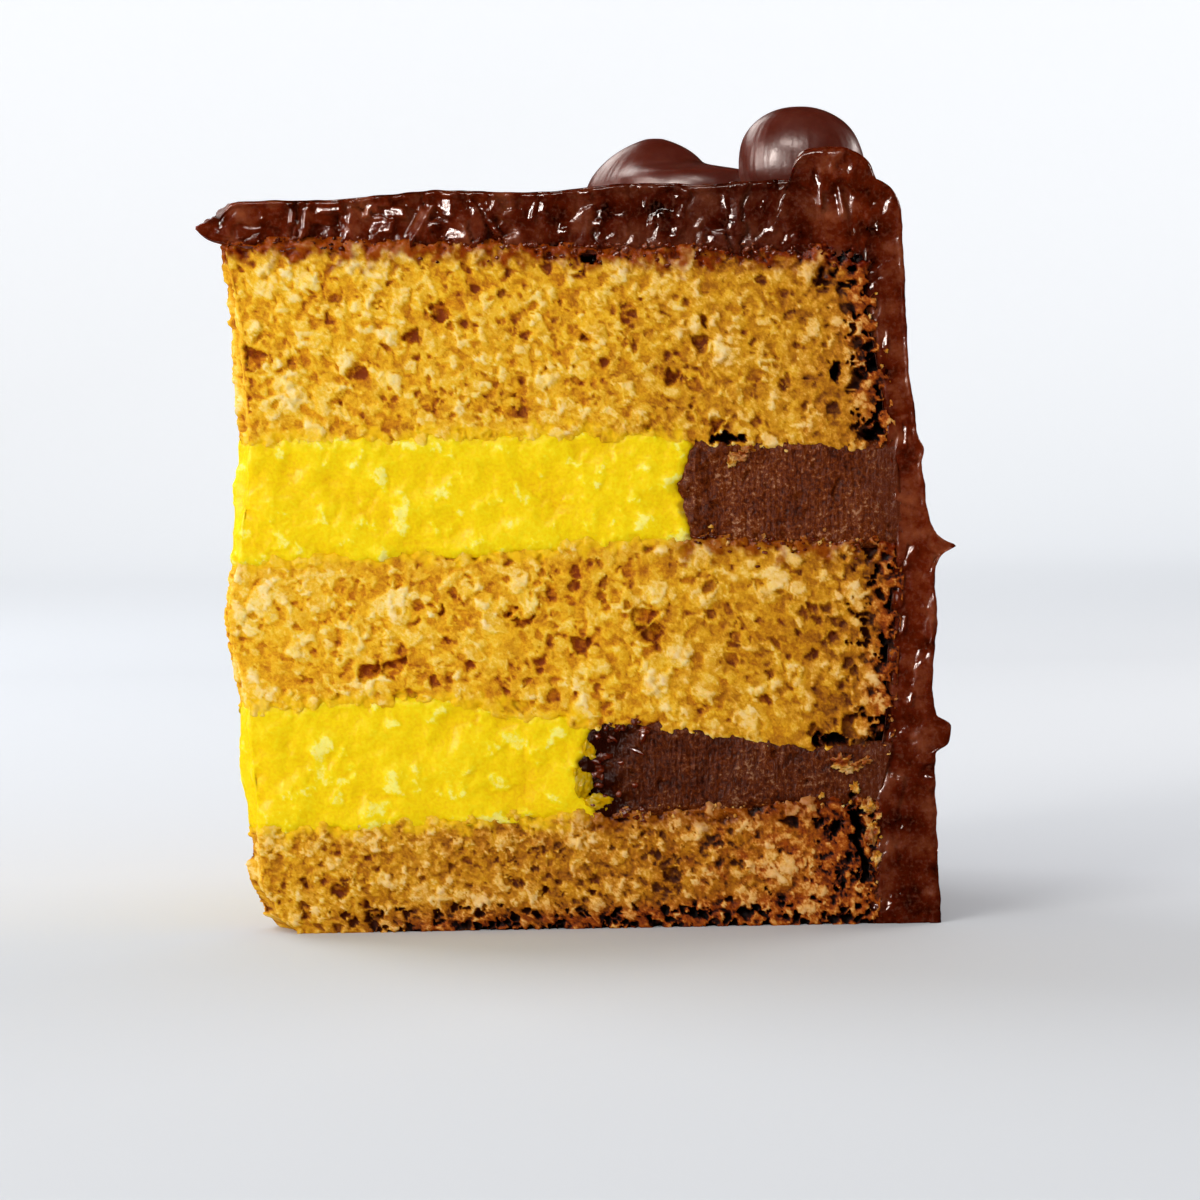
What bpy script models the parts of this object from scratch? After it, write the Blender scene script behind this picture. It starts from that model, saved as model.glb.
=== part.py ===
# A slice of three-layer sponge cake: two fillings of lemon curd, each inside a ring of chocolate
# frosting, a chocolate frosting coat over the top and the outside, and piped kisses along the rim.
# The cake's centre is at the slice's tip. Radii are measured from there, in millimetres.
import math

import bmesh
import bpy
from mathutils import Matrix, Vector, noise

MM = 0.001

# Driving dimensions, in millimetres
SLICE_ANGLE = math.radians(50)
CENTRE_X, CENTRE_Y = -62.0, -29.0  # the cake's centre, seen from the middle of the slice's base
GAP = 0.3  # room between neighbouring pieces
ARC_STEPS = 5

# Heights of the layers' faces above the plate: (radius, height) pairs, joined smoothly
BOTTOM_SPONGE_TOP = ((2, 15.9), (55, 17.4), (99, 19.0))
LOWER_FILLING_TOP = ((2, 34.0), (32, 34.6), (56, 31.0), (99, 26.6))
MIDDLE_SPONGE_TOP = ((2, 56.4), (42, 57.4), (68, 59.0), (99, 57.8))
UPPER_FILLING_TOP = ((2, 73.9), (64, 74.3), (72, 72.9), (99, 72.0))
TOP_SPONGE_TOP = ((2, 104.0), (32, 103.6), (58, 102.2), (99, 101.4))
FROSTING_TOP = ((5, 109.9), (30, 111.0), (100, 112.2))

# Where each height's cut starts at the tip and ends at the rim: (height, radius) pairs
TIP_RADIUS = ((0, 11.5), (3, 8.6), (8, 6.4), (34, 5.0), (48, 2.4), (57, 4.2), (74, 6.0), (90, 5.2), (104, 3.2))
LAYER_RADIUS = ((0, 98.6), (18, 99.0), (32, 101.5), (58, 103.0), (74, 101.8), (103, 98.4))
COAT_RADIUS = ((0, 109.2), (30, 108.2), (56, 107.6), (80, 105.6), (96, 104.2), (112, 104.0))

# Rings of frosting piped round each filling
LOWER_RING_RADIUS, UPPER_RING_RADIUS = 57.5, 73.0
RING_BULGE = 2.6

# Ridges that the spatula left round the side: (height, reach, half width, angle it fades over)
SIDE_RIDGES = ((58.0, 5.4, 2.8, 0.16), (30.5, 2.1, 2.8, 0.3), (73.5, 0.9, 2.6, 0.5), (45.0, 0.8, 5.0, 0.9))
COAT_CORNER = 3.0

# Frosting that the knife pulled past the tip: where it starts and ends, and how its end is lifted
TONGUE_ROOT, TONGUE_END, TONGUE_LIFT = 5.0, -1.6, 1.9

# Piped kisses: name, angle round the cake, radius they stand on, width, height, the foot's share of
# the width, and how far the tail that points back along the rim stretches the foot
KISS_CUT = ("kiss_cut", math.radians(-3.8), 94.2, 18.2, 5.5, 1.0, 0.0)
KISSES = (
    ("kiss_middle", math.radians(18.9), 96.2, 20.3, 12.8, 0.8, 0.0),
    ("kiss_far", math.radians(42.3), 92.0, 20.6, 10.4, 0.9, 1.2),
)
KISS_TAIL_DIRECTION = math.radians(-96)

FINISHES = {
    "sponge": ((0.72, 0.36, 0.03), 0.9),
    "curd": ((0.91, 0.62, 0.005), 0.35),
    "filling_frosting": ((0.11, 0.028, 0.009), 0.6),
    "coat_frosting": ((0.075, 0.014, 0.004), 0.3),
}


def along(stations, x):
    """The smooth value at x of a line through (x, value) stations."""
    if x <= stations[0][0]:
        return stations[0][1]
    for (x0, y0), (x1, y1) in zip(stations, stations[1:]):
        if x <= x1:
            share = (x - x0) / (x1 - x0)
            return y0 + (y1 - y0) * share * share * (3 - 2 * share)
    return stations[-1][1]


def mix(a, b, share):
    return a + (b - a) * share


def finish(name):
    """The Principled material of that name."""
    if name in bpy.data.materials:
        return bpy.data.materials[name]
    colour, roughness = FINISHES[name]
    material = bpy.data.materials.new(name)
    material.use_nodes = True
    shader = material.node_tree.nodes["Principled BSDF"]
    shader.inputs["Base Color"].default_value = (*colour, 1)
    shader.inputs["Roughness"].default_value = roughness
    return material


def add_object(name, mesh, material):
    """Turns a mesh drawn in millimetres round the cake's centre into an object."""
    to_row = Matrix.Scale(MM, 4) @ Matrix.Translation((CENTRE_X, CENTRE_Y, 0))
    bmesh.ops.transform(mesh, matrix=to_row, verts=mesh.verts)
    bmesh.ops.recalc_face_normals(mesh, faces=mesh.faces)
    data = bpy.data.meshes.new(name)
    mesh.to_mesh(data)
    mesh.free()
    data.materials.append(finish(material))
    obj = bpy.data.objects.new(name, data)
    bpy.context.scene.collection.objects.link(obj)
    return obj


def block(divisions, place):
    """A closed box with a grid on every face, whose points place(s, t, u) moves to where they belong."""
    mesh = bmesh.new()
    bmesh.ops.create_cube(mesh, size=1, matrix=Matrix.Translation((0.5, 0.5, 0.5)))
    for axis, parts in enumerate(divisions):
        edges = [e for e in mesh.edges if abs(e.verts[0].co[axis] - e.verts[1].co[axis]) > 0.5]
        bmesh.ops.subdivide_edges(mesh, edges=edges, cuts=parts - 1, use_grid_fill=True)
    for vert in mesh.verts:
        vert.co = place(*vert.co)
    return mesh


def crag(x, z, seed, grain, depth):
    """How far crumb or curd stands out of the cut at x, z."""
    point = Vector((x / grain, z / grain, seed))
    coarse = noise.noise(point)
    fine = noise.noise(point * 2.3 + Vector((7.0, 3.0, 1.0)))
    return depth * (coarse + 0.6 * fine)


def layer(name, divisions, bottom, top, inner, outer, material, grain, depth, seed):
    """A layer of the slice between two faces. Its inner and outer radius depend on the height of each end."""

    def place(s, t, u):
        start = inner(mix(bottom(0), top(0), u), u)
        end = outer(mix(bottom(100), top(100), u), u)
        radius = mix(start, end, s)
        angle = t * SLICE_ANGLE
        height = mix(bottom(radius), top(radius), u)
        point = Vector((radius * math.cos(angle), radius * math.sin(angle), height))
        if t < 0.001 or t > 0.999:
            outward = Vector((0, -1, 0)) if t < 0.5 else Vector((-math.sin(angle), math.cos(angle), 0))
            point += outward * crag(radius, height, seed + 9 * t, grain, depth) * min(1, (1 - s) * 12)
        return point

    return add_object(name, block(divisions, place), material)


def face(stations, lift=0.0):
    return lambda radius: along(stations, radius) + lift


def tip_edge(height, share):
    return along(TIP_RADIUS, height)


def rim_edge(height, share):
    return along(LAYER_RADIUS, height)


def ring_edge(radius):
    """The inner edge of a piped ring, which bulges towards the tip halfway up."""
    return lambda height, share: radius - RING_BULGE * (1 - (2 * share - 1) ** 2)


def make_sponges():
    floor = face(((0, 0.0), (100, 0.0)))
    stack = (
        ("bottom_sponge", 6, floor, face(BOTTOM_SPONGE_TOP)),
        ("middle_sponge", 8, face(LOWER_FILLING_TOP, GAP), face(MIDDLE_SPONGE_TOP)),
        ("top_sponge", 10, face(UPPER_FILLING_TOP, GAP), face(TOP_SPONGE_TOP)),
    )
    for seed, (name, rows, bottom, top) in enumerate(stack):
        size = (32, ARC_STEPS, rows)
        layer(name, size, bottom, top, tip_edge, rim_edge, "sponge", 5.0, 1.4, 4.0 * seed)


def make_fillings():
    rows = 6
    fillings = (
        ("lower", LOWER_RING_RADIUS, 17, 13, BOTTOM_SPONGE_TOP, LOWER_FILLING_TOP),
        ("upper", UPPER_RING_RADIUS, 22, 9, MIDDLE_SPONGE_TOP, UPPER_FILLING_TOP),
    )
    for seed, (place, radius, curd_steps, ring_steps, below, above) in enumerate(fillings):
        bottom, top = face(below, GAP), face(above)
        curd_size = (curd_steps, ARC_STEPS, rows)
        ring_size = (ring_steps, ARC_STEPS, rows)
        curd_end, ring_start = ring_edge(radius - GAP), ring_edge(radius)
        layer(place + "_curd", curd_size, bottom, top, tip_edge, curd_end, "curd", 6.0, 1.1, 20.0 + seed)
        ring = place + "_frosting_ring"
        layer(ring, ring_size, bottom, top, ring_start, rim_edge, "filling_frosting", 9.0, 0.3, 30.0 + seed)


def side_radius(height, angle):
    """The outside of the coat, with the spatula's ridges, which die away from the near cut."""
    radius = along(COAT_RADIUS, height)
    for middle, reach, half_width, fade in SIDE_RIDGES:
        across = (height - middle - 6 * angle * math.sin(3 * angle + middle)) / half_width
        swell = 0.35 + 0.65 * math.exp(-((angle / fade) ** 2))
        radius += reach * swell * math.exp(-abs(across) ** 1.4)
    return radius


def coat_point(s, t, u):
    """A bent slab: s runs from the tip along the top and down the side, u from the cake outwards."""
    angle = t * SLICE_ANGLE
    corner = COAT_CORNER * (1 - math.sqrt(0.5))
    inner_corner = along(LAYER_RADIUS, 101) + GAP + 0.1
    outer_corner = side_radius(108, angle) - corner
    top_share = 0.4
    if s <= top_share:
        share = s / top_share
        inner_radius = mix(TONGUE_END, inner_corner, share)
        outer_radius = mix(TONGUE_END, outer_corner, share)
        inner_height = along(TOP_SPONGE_TOP, inner_radius) + GAP
        past = max(0.0, outer_radius - (side_radius(108, angle) - COAT_CORNER))
        rounding = COAT_CORNER - math.sqrt(COAT_CORNER**2 - past**2)
        swirl = 0.35 * math.sin(outer_radius / 4.5 + 2.5 * angle) * min(1, max(0, (84 - outer_radius) / 12))
        outer_height = along(FROSTING_TOP, outer_radius) + swirl - rounding
    else:
        share = (s - top_share) / (1 - top_share)
        top = along(FROSTING_TOP, 100) - corner
        inner_height = mix(along(TOP_SPONGE_TOP, 99) + GAP, 0, share)
        outer_height = mix(top, 0, share)
        inner_radius = along(LAYER_RADIUS, inner_height) + GAP + 0.1
        past = max(0.0, outer_height - (along(FROSTING_TOP, 100) - COAT_CORNER))
        outer_radius = side_radius(outer_height, angle) - COAT_CORNER + math.sqrt(COAT_CORNER**2 - past**2)
    radius, height = mix(inner_radius, outer_radius, u), mix(inner_height, outer_height, u)
    return tongue_point(radius, height, t) if radius < TONGUE_ROOT else cut_point(radius, angle, height)


def cut_point(radius, angle, height):
    return Vector((radius * math.cos(angle), radius * math.sin(angle), height))


def tongue_point(radius, height, t):
    """Frosting past the tip: it narrows to a blunt point that keeps to the near cut."""
    share = (TONGUE_ROOT - radius) / (TONGUE_ROOT - TONGUE_END)
    point = cut_point(TONGUE_ROOT, t * SLICE_ANGLE, 0).lerp(Vector((TONGUE_END, 0.3 + 1.1 * t, 0)), share)
    floor = along(TOP_SPONGE_TOP, 0) + GAP
    thickness = 1 - 0.94 * share**1.8
    point.z = floor + TONGUE_LIFT * share**3 + (height - floor) * thickness
    return point


def make_coat():
    add_object("frosting", block((65, 8, 2), coat_point), "coat_frosting")


def kiss_profile(width, height, foot):
    """The outline of a piped kiss from the rim of its foot to its peak: a full belly and a soft top."""
    belly = ((1.0, 0.3), (0.93, 0.52), (0.76, 0.74), (0.48, 0.91), (0.2, 0.985), (0, 1))
    outline = ((foot, 0.0), (mix(foot, 1, 0.75), 0.12), *belly)
    return [Vector((share * width / 2, 0, up * height)) for share, up in outline]


def kiss_mesh(angle, radius, width, height, foot, tail):
    """A kiss turned from its profile, a little uneven, standing on the top of the coat."""
    mesh = bmesh.new()
    points = [mesh.verts.new(p) for p in kiss_profile(width, height, foot)]
    points.insert(0, mesh.verts.new((0, 0, 0)))
    edges = [mesh.edges.new(pair) for pair in zip(points, points[1:])]
    bmesh.ops.spin(
        mesh,
        geom=points + edges,
        axis=(0, 0, 1),
        cent=(0, 0, 0),
        angle=2 * math.pi,
        steps=20,
        use_merge=True,
    )
    bmesh.ops.remove_doubles(mesh, verts=mesh.verts, dist=0.001)
    for vert in mesh.verts:
        up = vert.co.z / height
        towards_tail = max(0, math.cos(math.atan2(vert.co.y, vert.co.x) - KISS_TAIL_DIRECTION)) ** 3
        swell = 1 + 0.08 * noise.noise(vert.co / 9 + Vector((radius, angle, 0)))
        swell += tail * towards_tail * max(0, 1 - 1.6 * up)
        vert.co = Vector((vert.co.x * swell + 0.6 * up * up, vert.co.y * swell, vert.co.z))
    base = along(FROSTING_TOP, radius) + GAP + 0.1
    place = Matrix.Translation(cut_point(radius, angle, base)) @ Matrix.Rotation(angle, 4, "Z")
    bmesh.ops.transform(mesh, matrix=place, verts=mesh.verts)
    return mesh


def make_kisses():
    for name, *sizes in KISSES:
        add_object(name, kiss_mesh(*sizes), "coat_frosting")


def make_cut_kiss():
    """The kiss that the near cut went through: what lies before the cut went with the next slice."""
    name, *sizes = KISS_CUT
    mesh = kiss_mesh(*sizes)
    parts = mesh.verts[:] + mesh.edges[:] + mesh.faces[:]
    bmesh.ops.bisect_plane(mesh, geom=parts, plane_co=(0, 0, 0), plane_no=(0, -1, 0), clear_outer=True)
    rim = [edge for edge in mesh.edges if edge.is_boundary]
    bmesh.ops.edgeloop_fill(mesh, edges=rim)
    add_object(name, mesh, "coat_frosting")


for old in list(bpy.data.objects):
    bpy.data.objects.remove(old)
make_sponges()
make_fillings()
make_coat()
make_cut_kiss()
make_kisses()
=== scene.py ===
import math
import random

import bmesh
import bpy
from mathutils import Matrix, Vector, noise


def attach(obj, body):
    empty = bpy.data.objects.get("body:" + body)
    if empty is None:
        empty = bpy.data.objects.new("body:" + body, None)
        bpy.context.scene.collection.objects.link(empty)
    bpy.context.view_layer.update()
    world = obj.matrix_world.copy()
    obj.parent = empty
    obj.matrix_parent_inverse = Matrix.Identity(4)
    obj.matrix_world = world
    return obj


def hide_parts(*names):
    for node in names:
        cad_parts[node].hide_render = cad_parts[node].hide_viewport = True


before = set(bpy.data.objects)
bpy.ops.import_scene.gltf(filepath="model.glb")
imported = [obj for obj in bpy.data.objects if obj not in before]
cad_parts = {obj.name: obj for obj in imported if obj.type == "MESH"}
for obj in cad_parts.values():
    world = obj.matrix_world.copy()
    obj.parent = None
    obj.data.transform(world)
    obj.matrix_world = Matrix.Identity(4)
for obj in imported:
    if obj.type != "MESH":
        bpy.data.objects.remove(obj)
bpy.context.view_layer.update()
print("frame loaded:", len(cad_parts), "nodes")
noise.seed_set(5)  # or else noise_vector takes its shift from the clock

# Slice of three-layer sponge cake. Radii run from the cake's centre and heights from the plate, all
# in millimetres until addPiece turns them to metres.
mm = 0.001

cake = {
    "centreX": -62.0,  # where the cake's centre lies in the frame
    "centreY": -29.0,
    "angle": math.radians(50),
    "lap": 1.0,  # how far a layer runs past its border, so that ragged borders leave no gaps
    # where the cut starts and where the sponge ends, by height
    "tip": (
        (0, 11.5), (3, 8.6), (8, 6.4), (34, 5.0), (48, 2.4), (57, 4.2), (74, 6.0), (90, 5.2), (104, 3.2)),
    "rim": ((0, 98.6), (18, 99.0), (32, 101.5), (58, 103.0), (74, 101.8), (103, 98.4)),
    # the height of each layer's top, by radius
    "bottomTop": ((2, 15.9), (55, 17.4), (99, 19.0)),
    "lowerTop": ((2, 34.0), (32, 34.6), (56, 31.0), (99, 26.6)),
    "middleTop": ((2, 56.4), (42, 57.4), (68, 59.0), (99, 57.8)),
    "upperTop": ((2, 73.9), (64, 74.3), (72, 72.9), (99, 72.0)),
    "topTop": ((2, 104.0), (32, 103.6), (58, 102.2), (99, 101.4)),
    "lowerRing": 57.5,  # where the rings of frosting start
    "upperRing": 73.0,
}


def along(stations, x):  # smooth value at x of a line through (x, value) stations
    if x <= stations[0][0]:
        return stations[0][1]
    for (x0, y0), (x1, y1) in zip(stations, stations[1:]):
        if x <= x1:
            share = (x - x0) / (x1 - x0)
            return y0 + (y1 - y0) * share * share * (3 - 2 * share)
    return stations[-1][1]


def mix(a, b, share):
    return a + (b - a) * share


def ease(low, high, x):  # 0 below low, 1 above high, smooth between
    share = min(1.0, max(0.0, (x - low) / (high - low)))
    return share * share * (3 - 2 * share)


def onCake(radius, angle, height):
    return Vector((radius * math.cos(angle), radius * math.sin(angle), height))


# Materials. The colour attribute "crumb" holds, on sponge and curd, how baked (the crust's browning and
# painted shade in one), soaked with chocolate and stained they are; on a ring, its painted shade and how wet
# and how joined to the coat it is; on the coat, its painted shade and whether it is cut. Its alpha is the
# relief's tone, which carries painted shade in pores and gaps.

def fromHex(code):  # sRGB hex to linear RGBA
    values = [int(code[i:i + 2], 16) / 255 for i in (0, 2, 4)]
    return [v / 12.92 if v <= 0.04045 else ((v + 0.055) / 1.055) ** 2.4 for v in values] + [1.0]


def addNode(tree, kind, inputs, stops=(), **settings):  # an input takes a value or another node's output
    node = tree.nodes.new("ShaderNode" + kind)
    for name, value in settings.items():
        setattr(node, name, value)
    for name, value in inputs.items():
        if isinstance(value, bpy.types.NodeSocket):
            tree.links.new(value, node.inputs[name])
        else:
            node.inputs[name].default_value = value
    while stops and len(node.color_ramp.elements) < len(stops):  # stops: a ramp's places and colours
        node.color_ramp.elements.new(0.5)
    for element, (place, code) in zip(node.color_ramp.elements if stops else (), stops):
        element.position = place
        element.color = fromHex(code)
    return node.outputs


def newMaterial(name):
    material = bpy.data.materials.new(name)
    material.use_nodes = True
    tree = material.node_tree
    return material, tree, tree.nodes["Principled BSDF"]


def readPiece(tree):  # the place on it in metres, the three parts of its colour attribute, and the tone
    place = addNode(tree, "TexCoord", {})["Object"]
    field = addNode(tree, "Attribute", {}, attribute_name="crumb")
    return place, addNode(tree, "SeparateColor", {"Color": field["Color"]}), field["Alpha"]


def dress(tree, shader, colour, roughness, height, bump):  # bump: strength, and mm that the height spans
    normal = addNode(tree, "Bump", {"Height": height, "Strength": bump[0], "Distance": bump[1] * mm})
    for name, pattern in (("Base Color", colour), ("Roughness", roughness), ("Normal", normal["Normal"])):
        tree.links.new(pattern, shader.inputs[name])


def perMetre(millimetres):  # a noise scale whose features are about that size
    return 1 / (millimetres * mm)


def raggedTone(tree, place, relief, look):  # the grain, and the relief's tone with its borders broken up
    grain = addNode(tree, "TexNoise", {
        "Vector": place, "Scale": perMetre(look["grain"]), "Detail": 3.0, "Roughness": look["grit"],
    })["Fac"]
    torn = addNode(tree, "MapRange", {
        "Value": grain, "From Min": 0.3, "From Max": 0.7, "To Min": -look["torn"], "To Max": look["torn"],
    })["Result"]
    return grain, addNode(tree, "Math", {0: relief, 1: torn})["Value"]


spongeLook = {  # ramps from the deepest pores, darkened with painted shade, to the flakes
    "pale": (
        (0.0, "883802"), (0.2, "bc6a04"), (0.34, "d68e0a"), (0.5, "eeb41a"), (0.62, "f4c436"),
        (0.74, "fad46c"), (1.0, "ffe6a8")),
    # browned crust, and a darker copy of the pale ramp for the painted shade
    "bakedAndShaded": (
        (0.0, "080000"), (0.2, "280600"), (0.34, "702a00"), (0.5, "9c4602"), (0.62, "c2762a"),
        (0.74, "dca458"), (1.0, "e8bc80")),
    "soaked": "a45e30",  # what chocolate leaves of its colour
    "stained": "f4c404",  # crumb wet with curd
    "grain": 0.4,  # mm, the finest crumb
    "grit": 0.65,
    "torn": 0.1,  # how far the grain shifts the tone
    "roughness": (0.7, 0.24),  # dry, and soaked
    "bump": (0.45, 0.22),  # strength, and mm
    "glow": 0.0012,  # m, how far light wanders in the crumb
}


def spongeMaterial():  # butter sponge, torn: matt open crumb, pale flakes that stand out, darker pores
    material, tree, shader = newMaterial("butterSponge")
    place, (bakeAndShade, soak, stain), relief = readPiece(tree)
    grain, tone = raggedTone(tree, place, relief, spongeLook)
    pale = addNode(tree, "ValToRGB", {"Fac": tone}, spongeLook["pale"])["Color"]
    bakedAndShaded = addNode(tree, "ValToRGB", {"Fac": tone}, spongeLook["bakedAndShaded"])["Color"]
    dry = addNode(tree, "MixRGB", {"Fac": bakeAndShade, "Color1": pale, "Color2": bakedAndShaded})["Color"]
    sour = addNode(tree, "MixRGB", {"Fac": stain, "Color1": dry, "Color2": fromHex(spongeLook["stained"])})
    dark = addNode(tree, "MixRGB", {
        "Fac": soak, "Color1": sour["Color"], "Color2": fromHex(spongeLook["soaked"]),
    }, blend_type="MULTIPLY")
    high, low = spongeLook["roughness"]
    gloss = addNode(tree, "MapRange", {
        "Value": soak, "From Min": 0.0, "From Max": 0.7, "To Min": high, "To Max": low,
    })
    dress(tree, shader, dark["Color"], gloss["Result"], grain, spongeLook["bump"])
    shader.inputs["Subsurface Weight"].default_value = 0.2
    shader.inputs["Subsurface Radius"].default_value = (1.0, 0.5, 0.1)
    shader.inputs["Subsurface Scale"].default_value = spongeLook["glow"]
    shader.inputs["IOR"].default_value = 1.4
    shader.inputs["Specular IOR Level"].default_value = 0.1  # the open crumb traps most of its gloss
    return material


curdLook = {
    "ramp": ((0.0, "e09800"), (0.35, "f6c800"), (0.55, "fbd600"), (0.75, "fddf14"), (1.0, "ffee78")),
    "stained": "a88428",  # what chocolate that has bled into it leaves of its colour
    "grain": 0.5,
    "grit": 0.5,
    "torn": 0.16,
    "roughness": (0.36, 0.12),  # set, and in drops
    "bump": (0.3, 0.25),
    "glow": 0.0025,
}


def curdMaterial():  # lemon curd, cooked and set: translucent, wet, saturated yellow with paler lumps
    material, tree, shader = newMaterial("lemonCurd")
    place, parts, relief = readPiece(tree)
    soak, stain = parts["Green"], parts["Blue"]
    grain, tone = raggedTone(tree, place, relief, curdLook)
    body = addNode(tree, "ValToRGB", {"Fac": tone}, curdLook["ramp"])["Color"]
    colour = addNode(tree, "MixRGB", {
        "Fac": stain, "Color1": body, "Color2": fromHex(curdLook["stained"]),
    }, blend_type="MULTIPLY")
    high, low = curdLook["roughness"]
    gloss = addNode(tree, "MapRange", {"Value": soak, "To Min": high, "To Max": low})
    dress(tree, shader, colour["Color"], gloss["Result"], grain, curdLook["bump"])
    shader.inputs["Subsurface Weight"].default_value = 0.3
    shader.inputs["Subsurface Radius"].default_value = (1.0, 0.7, 0.05)
    shader.inputs["Subsurface Scale"].default_value = curdLook["glow"]
    shader.inputs["IOR"].default_value = 1.42
    shader.inputs["Specular IOR Level"].default_value = 0.12
    return material


ringLook = {
    # its pale end is partly painted highlight on the raised flecks
    "ramp": ((0.2, "300a00"), (0.42, "581e00"), (0.6, "743206"), (0.76, "aa7854")),
    "shade": "603020",  # how much darker the painted shade can make it
    "wet": "260802",  # where it ran into the curd
    "joined": "541e08",  # where the knife smeared it into the coat
    "ridge": (0.6, 4.0),  # mm across and along the marks that the knife pulled up
    "cloud": 5.0,  # mm, its broad patches and its flecks
    "fleck": 0.6,
    "roughness": (0.3, 0.12),  # cut, and run
    "bump": (1.0, 0.3),
}


def ringMaterial():  # whipped chocolate frosting, cut cold: satin, with fine upright knife marks
    material, tree, shader = newMaterial("cutChocolateFrosting")
    place, (paintedShade, wet, blend) = readPiece(tree)[:2]
    across, length = ringLook["ridge"]
    stretched = addNode(tree, "Mapping", {
        "Vector": place, "Scale": (perMetre(across), perMetre(across), perMetre(length)),
    })["Vector"]
    marks = addNode(tree, "TexNoise", {"Vector": stretched, "Scale": 1.0, "Detail": 3.0})["Fac"]
    cloud = addNode(tree, "TexNoise", {
        "Vector": place, "Scale": perMetre(ringLook["cloud"]), "Detail": 3.0,
    })["Fac"]
    fleck = addNode(tree, "TexNoise", {
        "Vector": place, "Scale": perMetre(ringLook["fleck"]), "Detail": 3.0, "Roughness": 0.7,
    })["Fac"]
    height = addNode(tree, "Math", {0: marks, 1: fleck})["Value"]
    # mottling that is paler on the raised flecks: partly its own colour, partly painted highlight
    mottleAndGlints = addNode(tree, "MapRange", {
        "Value": fleck, "From Min": 0.3, "From Max": 0.7, "To Min": -0.26, "To Max": 0.26,
    })["Result"]
    cloudy = addNode(tree, "MapRange", {
        "Value": cloud, "From Min": 0.3, "From Max": 0.7, "To Min": 0.38, "To Max": 0.56,
    })["Result"]
    tone = addNode(tree, "Math", {0: mottleAndGlints, 1: cloudy})["Value"]
    cut = addNode(tree, "ValToRGB", {"Fac": tone}, ringLook["ramp"])["Color"]
    # painted shade from the colour attribute: darker on the lower ring and in gaps
    shaded = addNode(tree, "MixRGB", {
        "Fac": paintedShade, "Color1": cut, "Color2": fromHex(ringLook["shade"]),
    }, blend_type="MULTIPLY")["Color"]
    joined = addNode(tree, "MixRGB", {
        "Fac": blend, "Color1": shaded, "Color2": fromHex(ringLook["joined"]),
    })["Color"]
    colour = addNode(tree, "MixRGB", {"Fac": wet, "Color1": joined, "Color2": fromHex(ringLook["wet"])})
    high, low = ringLook["roughness"]
    gloss = addNode(tree, "MapRange", {
        "Value": wet, "From Min": 0.2, "From Max": 0.8, "To Min": high, "To Max": low,
    })
    dress(tree, shader, colour["Color"], gloss["Result"], height, ringLook["bump"])
    shader.inputs["IOR"].default_value = 1.45
    shader.inputs["Specular IOR Level"].default_value = 0.1
    return material


coatLook = {
    "ramp": ((0.3, "1c0200"), (0.5, "601a02"), (0.7, "8e4420")),
    "spread": "5c200a",  # evener where the spatula spread it
    "shade": "603020",  # what is left of the colour where the painted shade is full
    "paintedGlintSpecks": ("8c5644", 0.18),  # painted glints, pale specks standing in for tiny highlights: their colour and how far it shows
    "cloud": 5.0,
    "roughness": (0.05, 0.24),
    "satin": 0.38,  # rougher by this where no knife went
    "grain": 0.6,
    "bump": (0.3, 0.2),
    "gloss": 0.4,
}
kissLook = {
    **coatLook,
    "ramp": ((0.3, "300a02"), (0.5, "561808"), (0.7, "6a2814")),
    "spread": "581806",
    # painted glints as on the coat, fewer
    "paintedGlintSpecks": ("8c5644", 0.08),
    "roughness": (0.28, 0.38),
    "satin": 0.0,
    "grain": 0.8,
    "bump": (0.2, 0.2),
    "gloss": 0.6,
}


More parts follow.
